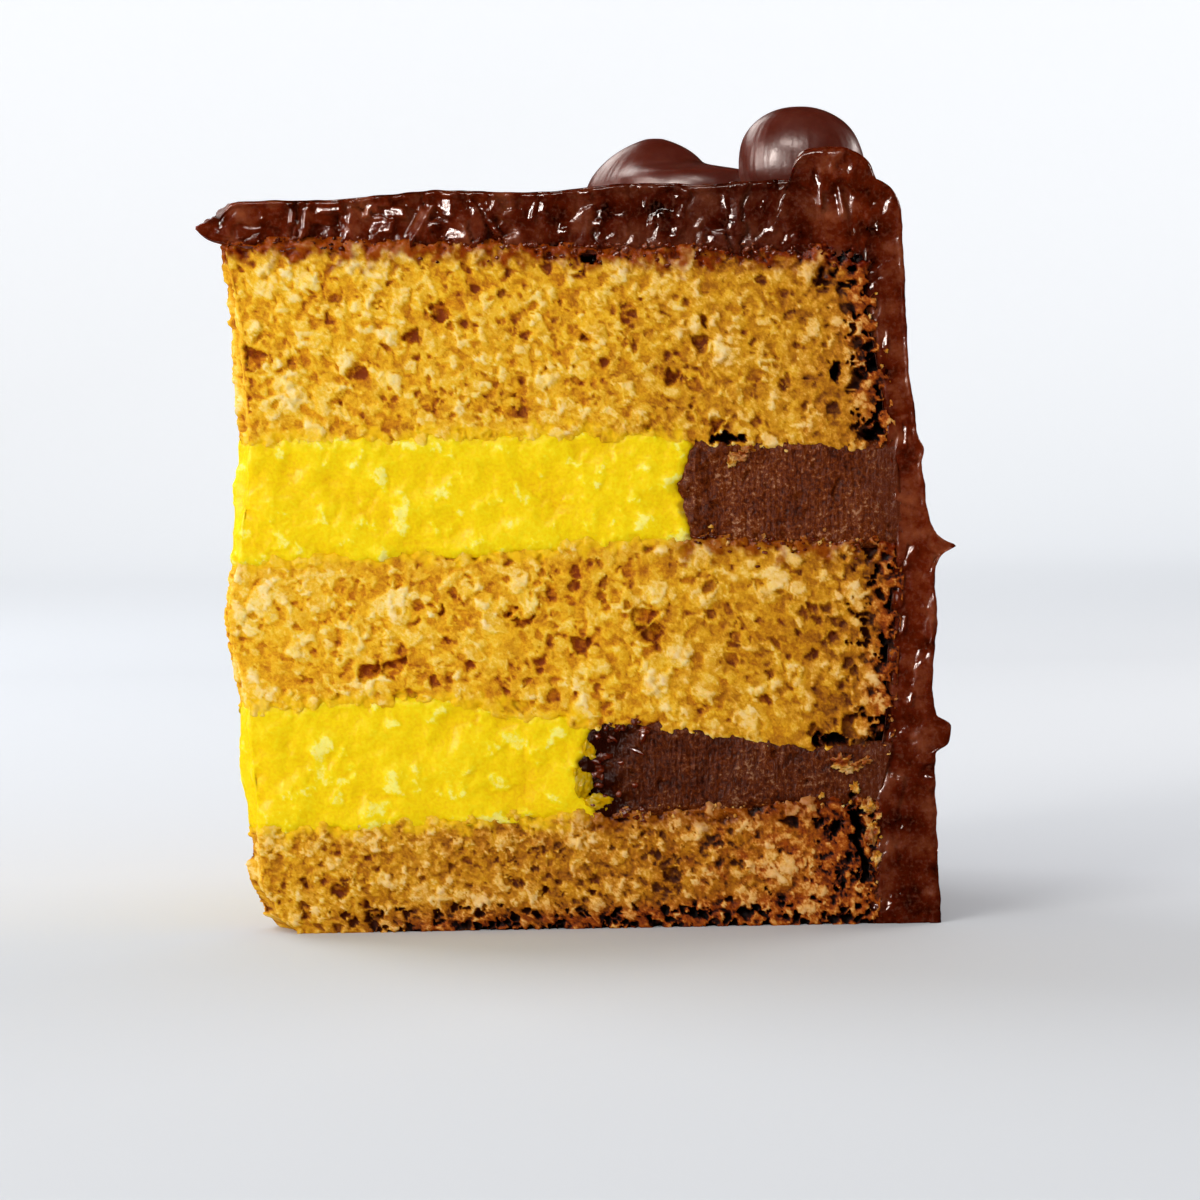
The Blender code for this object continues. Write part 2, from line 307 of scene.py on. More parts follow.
def frostingMaterial(name, look):  # butter and chocolate: reddish brown, glossy where a tool smoothed it
    material, tree, shader = newMaterial(name)
    place, parts = readPiece(tree)[:2]
    paintedShade, cut = parts["Red"], parts["Green"]
    cloud = addNode(tree, "TexNoise", {
        "Vector": place, "Scale": perMetre(look["cloud"]), "Detail": 5.0, "Roughness": 0.6,
    })["Fac"]
    grain = addNode(tree, "TexNoise", {
        "Vector": place, "Scale": perMetre(look["grain"]), "Detail": 3.0,
    })["Fac"]
    glintSpeckColour, glintSpeckShare = look["paintedGlintSpecks"]
    paintedGlintSpecks = addNode(tree, "MapRange", {  # paler specks painted over it, painted highlights of a grainy gloss
        "Value": grain, "From Min": 0.5, "From Max": 0.7, "To Min": 0.0, "To Max": glintSpeckShare,
    })["Result"]
    clouded = addNode(tree, "ValToRGB", {"Fac": cloud}, look["ramp"])["Color"]
    shown = addNode(tree, "MapRange", {"Value": cut, "To Min": 0.3, "To Max": 1.0})["Result"]
    base = addNode(tree, "MixRGB", {
        "Fac": shown, "Color1": fromHex(look["spread"]), "Color2": clouded,
    })["Color"]
    # painted shade from the colour attribute
    shaded = addNode(tree, "MixRGB", {
        "Fac": paintedShade, "Color1": base, "Color2": fromHex(look["shade"]),
    }, blend_type="MULTIPLY")["Color"]
    colour = addNode(tree, "MixRGB", {"Fac": paintedGlintSpecks, "Color1": shaded, "Color2": fromHex(glintSpeckColour)})
    low, high = look["roughness"]
    gloss = addNode(tree, "MapRange", {
        "Value": cloud, "From Min": 0.38, "From Max": 0.62, "To Min": low, "To Max": high,
    })["Result"]
    satin = addNode(tree, "MapRange", {"Value": cut, "To Min": look["satin"], "To Max": 0.0})["Result"]
    rough = addNode(tree, "Math", {0: gloss, 1: satin})["Value"]
    dress(tree, shader, colour["Color"], rough, grain, look["bump"])
    shader.inputs["Subsurface Weight"].default_value = 0.2
    shader.inputs["Subsurface Radius"].default_value = (1.0, 0.2, 0.05)
    shader.inputs["Subsurface Scale"].default_value = 0.0015
    shader.inputs["IOR"].default_value = 1.46
    shader.inputs["Specular IOR Level"].default_value = look["gloss"]
    return material


sponge = spongeMaterial()
curd = curdMaterial()
ringFrosting = ringMaterial()
coatFrosting = frostingMaterial("spreadChocolateFrosting", coatLook)
kissFrosting = frostingMaterial("pipedChocolateFrosting", kissLook)
print("materials made")


# Helpers for the pieces

def slab(cuts):  # a unit cube with a grid of cuts on every face, and its colour attribute
    mesh = bmesh.new()
    bmesh.ops.create_cube(mesh, size=1, matrix=Matrix.Translation((0.5, 0.5, 0.5)))
    for axis, count in enumerate(cuts):
        edges = [e for e in mesh.edges if abs(e.verts[0].co[axis] - e.verts[1].co[axis]) > 0.5]
        bmesh.ops.subdivide_edges(mesh, edges=edges, cuts=count - 1, use_grid_fill=True)
    return mesh, mesh.verts.layers.float_color.new("crumb")


def asObject(name, mesh, material):
    bmesh.ops.recalc_face_normals(mesh, faces=mesh.faces)
    for face in mesh.faces:
        face.smooth = True
    data = bpy.data.meshes.new(name)
    mesh.to_mesh(data)
    mesh.free()
    data.materials.append(material)
    thing = bpy.data.objects.new(name, data)
    bpy.context.scene.collection.objects.link(thing)
    return thing


def addPiece(name, mesh, material, slot, *nodes):  # mm round the cake's centre to metres in the frame
    toFrame = Matrix.Scale(mm, 4) @ Matrix.Translation((cake["centreX"], cake["centreY"], 0))
    bmesh.ops.transform(mesh, matrix=toFrame, verts=mesh.verts)
    piece = asObject(name, mesh, material)
    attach(piece, "root")
    if nodes:
        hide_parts(*nodes)
    print("made", name, len(piece.data.polygons), "faces")


# Relief on the cuts. Each gives how far the surface stands out in mm, and a tone from 0 to 1 for the colour:
# low in pores, where it is painted shade, middling in the crumb or curd itself, high on flakes and lumps,
# paler partly by their own colour and partly by painted light. They take the same values, so that a layer
# can use any.

crumbSizes = {  # mm across, then for crumbs how far tone and height step, else share and height or depth
    "crumbs": ((2.7, 0.13, 0.18), (1.2, 0.17, 0.14)),
    "flakes": ((4.3, 0.08, 0.25), (3.1, 0.14, 0.3), (1.7, 0.12, 0.2)),
    "pores": ((3.2, 0.06, 1.1), (1.7, 0.11, 0.5), (0.95, 0.1, 0.25)),
    "pits": (1.9, 0.5, 1.5),
}


def chosenCell(point, size, share):  # 0 outside to 1 inside a share of the cells of a cracked pattern
    distances, centres = noise.voronoi(point / size)
    if abs(noise.cell(centres[0] * 7.3)) > share:
        return 0.0
    return ease(0.03, 0.03 + 0.32 / size, distances[1] - distances[0])


def crumbRelief(x, z, seed, fineness, wear):
    spot = Vector((x, z, seed)) / fineness
    bent = spot + noise.noise_vector(spot / 0.75) * 0.22 + noise.noise_vector(spot / 2.1) * 0.6
    patchy = noise.noise(spot / 10) + 0.5 * ease(60, 0, x)
    tone = 0.47 + 0.12 * noise.fractal(bent / 0.8, 0.8, 2.0, 2) + 0.04 * patchy
    out = 0.3 * noise.noise(spot / 12)
    lifted, paintedPoreShade = 0.0, 0.0
    for size, step, height in crumbSizes["crumbs"]:
        distances, centres = noise.voronoi(bent / size + Vector((17, size, 3)))
        level = noise.cell(centres[0] * 7.3) * ease(0.0, 0.1, distances[1] - distances[0])
        out += height * level
        tone += step * level
    for number, (size, share, height) in enumerate(crumbSizes["flakes"]):
        share *= 1 + 1.6 * patchy - 0.6 * wear
        cell = chosenCell(bent + Vector((31 * number, 57, 20)), size, share)
        out += height * cell
        lifted = max(lifted, cell)
    for number, (size, share, depth) in enumerate(crumbSizes["pores"]):
        share *= 1 - 0.8 * patchy + wear
        cell = chosenCell(bent + Vector((40 * number, 13 * number, 0)), size, share)
        out -= depth * cell * fineness
        paintedPoreShade = max(paintedPoreShade, cell * (1 - 0.16 * number))
    if wear > 0.05:
        size, share, depth = crumbSizes["pits"]
        cell = chosenCell(bent + Vector((7, 60, 7)), size, share * wear)
        out -= depth * cell * fineness
        paintedPoreShade = max(paintedPoreShade, 1.6 * cell)
    # raised crumbs and flakes paler, pores and pits darker down to black: painted light and shade on top of
    # the crumb's own tone
    return out, tone + 0.22 * lifted - 0.42 * paintedPoreShade


def curdRelief(x, z, seed, fineness, wear):
    spot = Vector((x, z, seed))
    bent = spot + noise.noise_vector(spot / 2.0) * 0.6
    lump = noise.fractal(bent / 7, 0.9, 2.0, 3)
    curdle = noise.fractal(bent / 3.0 + Vector((3, 1, 4)), 0.9, 2.1, 4)
    out = 0.7 * lump + 0.2 * ease(0.0, 0.6, curdle) + 0.07 * noise.noise(bent / 0.9)
    # tone darker orange in the hollows of the broad lumps, a painted shade, and paler on the curdled lumps,
    # their own colour
    return out, 0.52 + 0.2 * lump + 0.42 * ease(0.2, 0.7, curdle)


def ringRelief(x, z, seed, fineness, wear):
    spot = Vector((x, z, seed))
    calm = 1 - ease(14, 20, abs(x - 84))  # the knife's marks are deepest in the middle
    marks = noise.noise(Vector((x / 0.42, z / 7, seed))) * calm * ease(-0.1, 0.3, noise.noise(spot / 5))
    pit = chosenCell(spot + noise.noise_vector(spot / 0.9) * 0.4, 1.2, 0.03)
    run = wear * (1.1 * noise.fractal(spot / 3.6, 1.0, 2.0, 3) + 0.08 * noise.noise(spot / 1.1))
    out = 0.3 * noise.noise(spot / 8) + 0.12 * noise.noise(spot / 1.4) + 0.12 * marks - 0.5 * pit + run
    return out, 0.5


# Gaps in the near cut, which are also painted dark as painted shade: radius, height, half width, half
# height, lean and depth
gaps = (
    (57.5, 100.7, 1.4, 1.1, 0.0, 2.2),
    (77.2, 73.6, 3.4, 0.8, 0.0, 2.6),
    (98.7, 73.6, 1.0, 0.8, 0.1, 1.6),
    (96.8, 11.5, 0.55, 7.8, -0.16, 2.4),
    (92.4, 27.9, 2.4, 1.1, -0.3, 2.6),
    (94.2, 83.4, 0.7, 1.9, 0.2, 2.0),
    (61.0, 16.6, 1.4, 0.5, 0.0, 0.9),
)


def gapDepth(radius, height):
    deepest = 0.0
    for middle, level, halfWidth, halfHeight, lean, depth in gaps:
        up = (height - level) / halfHeight
        if abs(up) > 2:
            continue
        spot = Vector((radius, height, middle))
        ragged = 0.8 * noise.fractal(spot / 1.6, 0.8, 2.0, 3) + 0.35 * noise.noise(spot / 0.7)
        wander = 0.8 * noise.noise(Vector((0, height / 2.2, middle)))
        across = (radius - middle - lean * (height - level) - wander) / halfWidth
        deepest = max(deepest, depth * ease(0.0, 0.4, 1 + ragged - math.sqrt(across * across + up * up)))
    return deepest


# Layers: a sponge or a filling between two lines of heights, from the tip or a ring to the rim

layerReliefs = {"sponge": crumbRelief, "curd": curdRelief, "ring": ringRelief}
edgeRolls = {  # mm deep and mm wide: how a layer's cut falls back where it ends
    "border": (0.8, 1.8),
    "ringStart": (0.5, 1.2),
    "curdEnd": (1.4, 3.0),
}


def edgeRoll(distance, edge):
    depth, reach = edgeRolls[edge]
    return depth * max(0.0, 1 - distance / reach) ** 2


def buildLayer(name, layer):
    lap = cake["lap"]
    relief = layerReliefs[layer["kind"]]
    onFloor = layer["below"] is None
    ringed = layer["kind"] == "ring"  # its inner edge bulges towards the tip
    wetFrom, wetness = layer.get("wetAbove", (0, 0.0))
    curdAbove, curdBelow = layer.get("curdTo", (0, 0))

    def low(radius):
        return 0.0 if onFloor else along(cake[layer["below"]], radius) - lap

    def high(radius):
        return along(cake[layer["above"]], radius) + lap

    def bulge(share):
        wander = noise.fractal(Vector((share * 5, cake[layer["above"]][0][1], 0)), 0.8, 2.0, 3)
        return 2.6 * (1 - (2 * share - 1) ** 2) + 1.2 * wander

    mesh, shades = slab(layer["cuts"])
    ends = {}
    for vert in mesh.verts:
        s, t, u = vert.co
        if u not in ends:
            start = layer["from"] - bulge(u) if ringed else along(cake["tip"], mix(low(0), high(0), u))
            end = along(cake["rim"], mix(low(100), high(100), u)) + lap
            if layer.get("to"):
                end = layer["to"] - bulge(u) + lap
            ends[u] = start, end
        start, end = ends[u]
        radius = mix(start, end, s)
        angle = t * cake["angle"]
        bottom, top = low(radius), high(radius)
        height = mix(bottom, top, u)
        place = onCake(radius, angle, height)
        near, far, tip = t < 0.001, t > 0.999, s < 0.001 and not ringed
        shade = (0.0, 0.0, 0.0, 0.5)
        if near or far or tip:
            outward = Vector((0, 0, 0))
            if near:
                outward += Vector((0, -1, 0))
            if far:
                outward += Vector((-math.sin(angle), math.cos(angle), 0))
            if tip:
                outward += Vector((-math.cos(angle), -math.sin(angle), 0))
            outward.normalize()
            across = radius if near or far else angle * 9 + 200  # the tip and the far cut look different
            seed = layer["seed"] + (50 if far else 0)
            ragged = noise.fractal(Vector((across / 2.4, height / 2.4, seed + 7)), 0.8, 2.0, 3)
            toTop, toBottom = top - lap - height, height - bottom - lap
            toRim = end - lap - radius
            wear = (1 - ease(0.0, layer["wornRim"], toRim + 4 * ragged)) if radius > 40 else 0.0
            if onFloor:
                wear = max(wear, (1 - ease(0.5, 5.5, height + 2 * ragged)) * ease(10, 30, radius))
            if ringed:
                wear = 1 - ease(3.0, layer["runs"], radius - start + 3 * ragged) if near else 0.0
            out, tone = relief(across, height, seed, layer["fineness"], wear)
            torn = layer["torn"] * ragged
            out -= edgeRoll(top - height + torn, "border")
            if not onFloor:
                out -= edgeRoll(height - bottom + torn, "border")
            if ringed:
                out -= edgeRoll(radius - start, "ringStart")
            if layer["kind"] == "curd":
                out -= edgeRoll(end - radius, "curdEnd")
            gap = gapDepth(radius, height) if near else 0.0
            place += outward * (out - gap)
            if onFloor:
                place.z = max(0.0, place.z * ease(-0.5, 0.6, u * (top - bottom))) if u > 0 else 0.0
            # bake is the crust's browning and painted shade in one: darker towards the rim and on the worn
            # rim
            bakeAndShade = along(layer["bakeAndShade"], radius) + 0.2 * ragged + (0.0 if ringed else 0.45 * wear)
            bakeAndShade += layer["topCrust"] * (1 - ease(0, 5, toTop + 3 * ragged))
            # a gap is painted dark, a painted shade in the crack
            bakeAndShade = max(bakeAndShade, min(1.0, gap))
            wet = wetness * ease(wetFrom - 2, wetFrom + 3, radius)
            wet *= 1 - ease(0.6, 3.8, toTop + 3 * ragged)
            stain = 0.0
            if radius < curdAbove:
                stain = 1 - ease(-0.2, 2.2, toTop + 2.4 * ragged)
            if radius < curdBelow:
                stain = max(stain, 1 - ease(-0.2, 2.6, toBottom + 2.8 * ragged))
            if layer["kind"] == "curd":
                stain = 1 - ease(-0.1, 0.9, end - lap - radius + 0.8 * ragged)
            if ringed:
                wet = wear * layer["wet"]
                stain = 1 - ease(-0.5, 6.0, toRim + 3 * ragged)
            bakeAndShade = min(1.0, max(0.0, bakeAndShade))
            # in a gap the tone is lowered too, painted shade
            shade = (bakeAndShade, min(1.0, wet), 0.75 * stain, min(tone, 0.5 - gap) if gap > 0 else tone)
        vert.co = place
        vert[shades] = shade
    addPiece(name, mesh, layer["material"], layer["slot"], layer["node"])


# cuts: along, round and up; torn: how ragged the borders are; bake: how brown, by radius, the crust's
# browning and painted shade in one; topCrust: how much browner at the top; wornRim: mm worn at the rim;
# wetAbove: from which radius chocolate soaked it, and how far; curdTo: to which radius curd stained its top
# and bottom; runs: mm that a ring's start is wet
spongeLayer = {"kind": "sponge", "material": sponge, "slot": "sponge", "torn": 1.3}
curdLayer = {
    "kind": "curd", "material": curd, "slot": "curd", "torn": 0.9, "fineness": 1.0, "topCrust": 0.0,
    "wornRim": 1.0, "bakeAndShade": ((0, 0.0), (99, 0.0)),
}
ringLayer = {
    "kind": "ring", "material": ringFrosting, "slot": "filling_frosting", "torn": 0.4, "fineness": 1.0,
    "topCrust": 0.0, "wornRim": 1.0, "bakeAndShade": ((0, 0.0), (99, 0.0)),
}
layers = {
    "bottomSponge": {
        **spongeLayer, "node": "bottom_sponge", "cuts": (370, 6, 74), "below": None, "above": "bottomTop",
        "seed": 0.0, "fineness": 0.7, "bakeAndShade": ((0, 0.3), (50, 0.62), (99, 1.0)), "topCrust": 0.0,
        "wornRim": 9.0, "wetAbove": (54, 0.7), "curdTo": (56, 0),
    },
    "middleSponge": {
        **spongeLayer, "node": "middle_sponge", "cuts": (376, 6, 118), "below": "lowerTop",
        "above": "middleTop", "seed": 4.0, "fineness": 1.0, "topCrust": 0.1, "wornRim": 7.0,
        "bakeAndShade": ((0, 0.0), (55, 0.1), (80, 0.36), (99, 0.62)), "wetAbove": (69, 0.9), "curdTo": (71, 56),
    },
    "topSponge": {
        **spongeLayer, "node": "top_sponge", "cuts": (376, 6, 118), "below": "upperTop",
        "above": "topTop", "seed": 8.0, "fineness": 0.92, "topCrust": 0.32, "wornRim": 7.0,
        "bakeAndShade": ((0, 0.0), (50, 0.14), (80, 0.42), (99, 0.68)), "wetAbove": (0, 1.0), "curdTo": (0, 71),
    },
    "lowerCurd": {
        **curdLayer, "node": "lower_curd", "cuts": (190, 6, 66), "below": "bottomTop",
        "above": "lowerTop", "seed": 20.0, "to": cake["lowerRing"] + 0.3,
    },
    "upperCurd": {
        **curdLayer, "node": "upper_curd", "cuts": (240, 6, 62), "below": "middleTop",
        "above": "upperTop", "seed": 21.0, "to": cake["upperRing"] + 0.3,
    },
    "lowerRing": {
        **ringLayer, "node": "lower_frosting_ring", "cuts": (170, 6, 52), "below": "bottomTop",
        "above": "lowerTop", "seed": 30.0, "from": cake["lowerRing"], "bakeAndShade": ((0, 0.5), (99, 0.3)),
        "runs": 9.0, "wet": 1.0,
    },
    "upperRing": {
        **ringLayer, "node": "upper_frosting_ring", "cuts": (130, 6, 58), "below": "middleTop",
        "above": "upperTop", "seed": 31.0, "from": cake["upperRing"], "runs": 6.0, "wet": 0.12,
    },
}
for name, layer in layers.items():
    buildLayer(name, layer)


# The coat: frosting over the top and down the outside, with the tongue that the knife pulled out

coat = {
    "cuts": (640, 36, 34),  # along its section, round the cake, and through it
    "topShare": 0.48,  # of the section, and half the blend between top and side
    "topBlend": 0.02,
    "lapTop": 0.7,  # how far it reaches into the sponge below and beside it
    "lapSide": 0.6,
    "topHeight": ((5, 109.9), (30, 111.0), (100, 112.2)),
    "side": (
        (0, 108.8), (11, 108.4), (25, 108.1), (37, 107.8), (48, 108.1), (64, 107.1),
        (76, 105.9), (84, 104.9), (94, 104.6), (112, 104.0)),
    # ridges that the spatula left: height, reach, half thickness, sharpness and angle they fade over
    "ridges": (
        (57.0, 1.5, 4.2, 1.4, 0.5), (57.0, 3.1, 0.9, 1.0, 0.05), (28.6, 2.0, 2.3, 6.0, 0.09),
        (30.0, 0.7, 3.0, 1.6, 0.6), (71.6, 0.8, 1.5, 2.0, 0.2), (45.0, 0.7, 5.0, 1.6, 0.9)),
    "corner": 5.2,  # rounding, and the height where the side below it is read
    "cornerHeight": 108,
    "kiss": (94.0, 6.2, 4.7),  # radius, half width and height of the kiss that the near cut went through
    "kissFlanks": (4.5, 2.0),  # its left flank is steeper
    "kissDepth": 2.8,  # what the cut left of it
    "tongueRoot": 5.0,
    "tongueEnd": -1.4,
    "tongueLift": 1.9,
    "lip": 0.45,  # how far the cut's upper edge curls out
    # where the knife dragged and stuck it left flat facets: mm across, mm up, how steeply they lie and
    # how deep the creases between them are
    "facets": ((8.5, 26.0, 0.6, 0.5), (4.6, 7.0, 0.42, 0.12)),
    # how much of that shows, by radius
    "busy": (
        (0, 0.25), (10, 0.6), (16, 1.0), (44, 1.0), (52, 0.42), (72, 0.4), (82, 0.7), (94, 0.6), (99, 0.35)),
    # radius, height, half width, half height and lean of patches that the knife left flat and glossy
    "flats": (
        (13.0, 108.4, 0.35, 1.6, 0.0), (18.5, 109.3, 2.1, 1.0, 0.0), (24.2, 108.6, 0.4, 1.2, 0.1),
        (26.3, 106.1, 1.8, 0.8, 0.3), (28.2, 108.1, 1.8, 0.8, -0.3), (32.2, 106.8, 0.9, 2.2, 0.5),
        (36.3, 109.0, 0.9, 1.6, 0.0), (42.4, 107.2, 0.6, 2.8, -0.6), (57.0, 110.2, 0.9, 0.5, 0.0),
        (58.6, 106.0, 0.9, 0.5, 0.0), (71.0, 107.6, 0.4, 1.0, 0.3), (73.6, 105.6, 0.5, 0.7, 0.2),
        (77.4, 109.0, 0.4, 1.5, -0.2), (80.6, 106.4, 0.5, 0.7, 0.0), (91.7, 110.6, 0.35, 3.0, -0.1),
        (95.2, 108.6, 0.4, 2.6, -0.2), (60.5, 103.9, 0.9, 0.35, 0.0), (63.8, 103.7, 0.5, 0.6, 0.1),
        (66.8, 106.4, 0.4, 0.8, 0.2), (69.9, 104.5, 0.7, 0.9, 0.3), (71.4, 110.1, 1.0, 0.45, 0.0),
        (75.4, 103.8, 0.6, 0.6, 0.0), (84.2, 104.7, 1.1, 0.5, 0.0), (83.4, 108.3, 0.4, 0.9, 0.2),
        (88.2, 104.0, 0.8, 0.4, 0.0), (49.0, 108.0, 0.4, 1.3, 0.2), (53.4, 104.8, 0.8, 0.5, 0.0),
        (104.4, 55.3, 0.35, 1.9, 0.25), (104.2, 73.6, 0.3, 1.6, -0.05), (101.6, 88.0, 0.3, 1.4, 0.0),
        (102.4, 64.0, 0.3, 1.0, 0.2), (103.4, 45.0, 0.3, 1.2, 0.1), (104.6, 34.0, 0.4, 0.8, 0.2)),
    # painted shade: how much darker it is painted, by radius
    "sidePaintedShade": ((98, 0.5), (103, 0.2), (108, 0.0)),
    "paintedShade": ((0, 0.0), (30, 0.1), (52, 0.4), (80, 0.65), (88, 0.5), (94, 0.1), (106, 0.0)),
}


def sideRadius(height, angle):
    radius = along(coat["side"], height)
    for middle, reach, halfWidth, sharpness, fade in coat["ridges"]:
        across = abs(height - middle - 6 * angle * math.sin(3 * angle + middle)) / halfWidth
        radius += reach * math.exp(-((angle / fade) ** 2)) * math.exp(-across ** sharpness)
    stroke = noise.noise(Vector((height / 2.6, angle * 3.5, 4.0))) * mix(0.18, 0.4, ease(0.02, 0.3, angle))
    broad = noise.noise(Vector((height / 7, angle * 2.5, 1.0))) * ease(0.02, 0.3, angle)
    fine = noise.noise(Vector((height / 0.9, angle * 6, 9.0)))
    return radius + 0.9 * broad + stroke + 0.07 * fine


def dragRelief(x, z):
    busy = along(coat["busy"], x)
    bend = noise.noise_vector(Vector((x / 4, z / 4, 0))) * 0.28
    drag = 0.0
    for width, height, slope, crease in coat["facets"]:
        spot = Vector((x / width, z / height, 3.3)) + bend
        distances, centres = noise.voronoi(spot)
        tilt = noise.cell_vector(centres[0] * 5.1)
        drag += slope * (spot.x - centres[0].x) * (tilt.x - 0.5) * width
        drag += slope * (spot.y - centres[0].y) * (tilt.y - 0.6) * min(height, 6.0)
        drag -= crease * (1 - ease(0.0, 0.12, distances[1] - distances[0]))
    wave = noise.noise(Vector((x / 2.6, z / 3.6, 6)) + bend)
    drag = busy * (drag + 0.35 * wave) + 0.04 * noise.noise(Vector((x / 1.3, z / 1.3, 6)) + bend)
    for middle, level, halfWidth, halfHeight, lean in coat["flats"]:
        across, up = x - middle - lean * (z - level), z - level
        if abs(across) < 3 and abs(up) < 4:
            border = max(abs(across + 1.2 * bend.x) / halfWidth, abs(up + 1.2 * bend.y) / halfHeight)
            drag = mix(drag, 0.15 + 0.42 * across - 0.2 * up, ease(1.25, 0.85, border))
    return drag


def cutKiss(radius, angle):  # height that the cut kiss adds to the top of the coat
    middle, half, height = coat["kiss"]
    left, right = coat["kissFlanks"]
    away = radius * math.sin(angle) / coat["kissDepth"]
    across = (radius - middle) / half
    dome = 1 - abs(across) ** (left if across < 0 else right) - away * away
    return height * math.sqrt(dome) if dome > 0 else 0.0


def tonguePoint(radius, height, t):
    share = (coat["tongueRoot"] - radius) / (coat["tongueRoot"] - coat["tongueEnd"])
    root = onCake(coat["tongueRoot"], t * cake["angle"], 0)
    place = root.lerp(Vector((coat["tongueEnd"], 0.3 + 1.1 * t, 0)), share)
    floor = along(cake["topTop"], 0) + 0.3
    place.z = floor + coat["tongueLift"] * share ** 3 + (height - floor) * (1 - 0.94 * share ** 1.4)
    wave = 0.5 * noise.noise(Vector((radius / 0.9, 3 * t, 5)))
    wave -= 0.6 * math.exp(-((radius - 2.4) / 0.5) ** 2)  # a dip behind its end
    place.z += wave * ease(0.0, 0.15, share) * (height - floor) / 6
    return place


def coatPoint(s, t, u):
    angle = t * cake["angle"]
    corner = coat["corner"]
    cut = corner * (1 - math.sqrt(0.5))
    innerCorner = along(cake["rim"], 101) - coat["lapSide"]
    outerCorner = sideRadius(coat["cornerHeight"], angle) - cut
    topHeight = along(coat["topHeight"], 100)
    if s <= coat["topShare"]:
        share = s / coat["topShare"]
        innerRadius = mix(coat["tongueEnd"], innerCorner, share)
        outerRadius = mix(coat["tongueEnd"], outerCorner, share)
        ragged = 0.55 * noise.fractal(Vector((innerRadius / 1.8, angle * 20, 3)), 0.8, 2.0, 3)
        innerHeight = along(cake["topTop"], innerRadius)
        innerHeight -= (coat["lapTop"] + ragged) * ease(2, 8, innerRadius)
        past = max(0.0, outerRadius - (sideRadius(coat["cornerHeight"], angle) - corner))
        rounding = corner - math.sqrt(corner ** 2 - past ** 2)
        calm = min(1.0, max(0.0, (84 - outerRadius) / 12))
        swirl = 0.35 * math.sin(outerRadius / 4.5 + 2.5 * angle) * calm
        stroke = 0.22 * noise.noise(Vector((outerRadius / 3.0, angle * 3, 2.0))) * ease(4, 12, outerRadius)
        outerHeight = along(coat["topHeight"], outerRadius) + swirl + stroke - rounding
        outerHeight += cutKiss(outerRadius, angle)
    else:
        share = (s - coat["topShare"]) / (1 - coat["topShare"])
        innerHeight = mix(along(cake["topTop"], 99) - coat["lapTop"], 0, share)
        outerHeight = mix(topHeight - cut, 0, share)
        innerRadius = along(cake["rim"], innerHeight) - coat["lapSide"]
        past = max(0.0, outerHeight - (topHeight - corner))
        outerRadius = sideRadius(outerHeight, angle) - corner + math.sqrt(corner ** 2 - past ** 2)
    radius, height = mix(innerRadius, outerRadius, u), mix(innerHeight, outerHeight, u)
    if radius < coat["tongueRoot"]:
        return tonguePoint(radius, height, t), radius, height
    return onCake(radius, angle, height), radius, height


def sideShare(s):  # 0 on top to 1 on the side
    return ease(coat["topShare"] - coat["topBlend"], coat["topShare"] + coat["topBlend"], s)


def buildCoat():
    mesh, shades = slab(coat["cuts"])
    for vert in mesh.verts:
        s, t, u = vert.co
        t = t ** 1.5 if t < 0.5 else t  # finer near the cut
        place, radius, height = coatPoint(s, t, u)
        if vert.co.y < 0.001 or vert.co.y > 0.999:
            angle = t * cake["angle"]
            outward = Vector((0, -1, 0)) if t < 0.5 else Vector((-math.sin(angle), math.cos(angle), 0))
            onSide = sideShare(s)
            relief = dragRelief(radius + 40 * t, height)  # the far cut was dragged in other places
            relief -= 0.8 * (1 - ease(0.0, 0.14, u))
            lip = ease(0.84, 0.93, u) - 1.6 * ease(0.955, 1.0, u)  # stands out, then rounds over
            relief += coat["lip"] * lip * (1 - 0.6 * onSide)
            place += outward * relief * ease(-1, 6, radius)
        vert.co = place
        # painted shade too: darker towards the bottom
        low = 0.4 * (1 - ease(10, 60, height))
        paintedShade = max(low, along(coat["paintedShade" if sideShare(s) < 0.5 else "sidePaintedShade"], radius))
        vert[shades] = (paintedShade, 1 - ease(0.0, 0.01, t), 0.0, 0.5)
    addPiece("frostingCoat", mesh, coatFrosting, "coat_frosting", "frosting", "kiss_cut")


buildCoat()


# Piped kisses

# belly: share of the height where it is widest; foot: its foot's share of the width; slope: how fast it
# narrows; tail: how far it was drawn out; lean: of its peak, in mm
kisses = {
    "kissMiddle": {
        "node": "kiss_middle", "angle": 18.9, "radius": 96.2, "width": 20.3, "height": 12.8,
        "belly": 0.22, "foot": 0.9, "slope": 0.92, "tail": 0.0, "lean": 0.9},
    "kissFar": {
        "node": "kiss_far", "angle": 42.3, "radius": 92.0, "width": 21.6, "height": 10.4,
        "belly": 0.1, "foot": 0.97, "slope": 1.45, "tail": 1.15, "lean": -0.6},
}
kissTail = math.radians(-96)  # the way the bag was pulled off, seen from each kiss
kissSteps = {"foot": 8, "dome": 32, "round": 224}


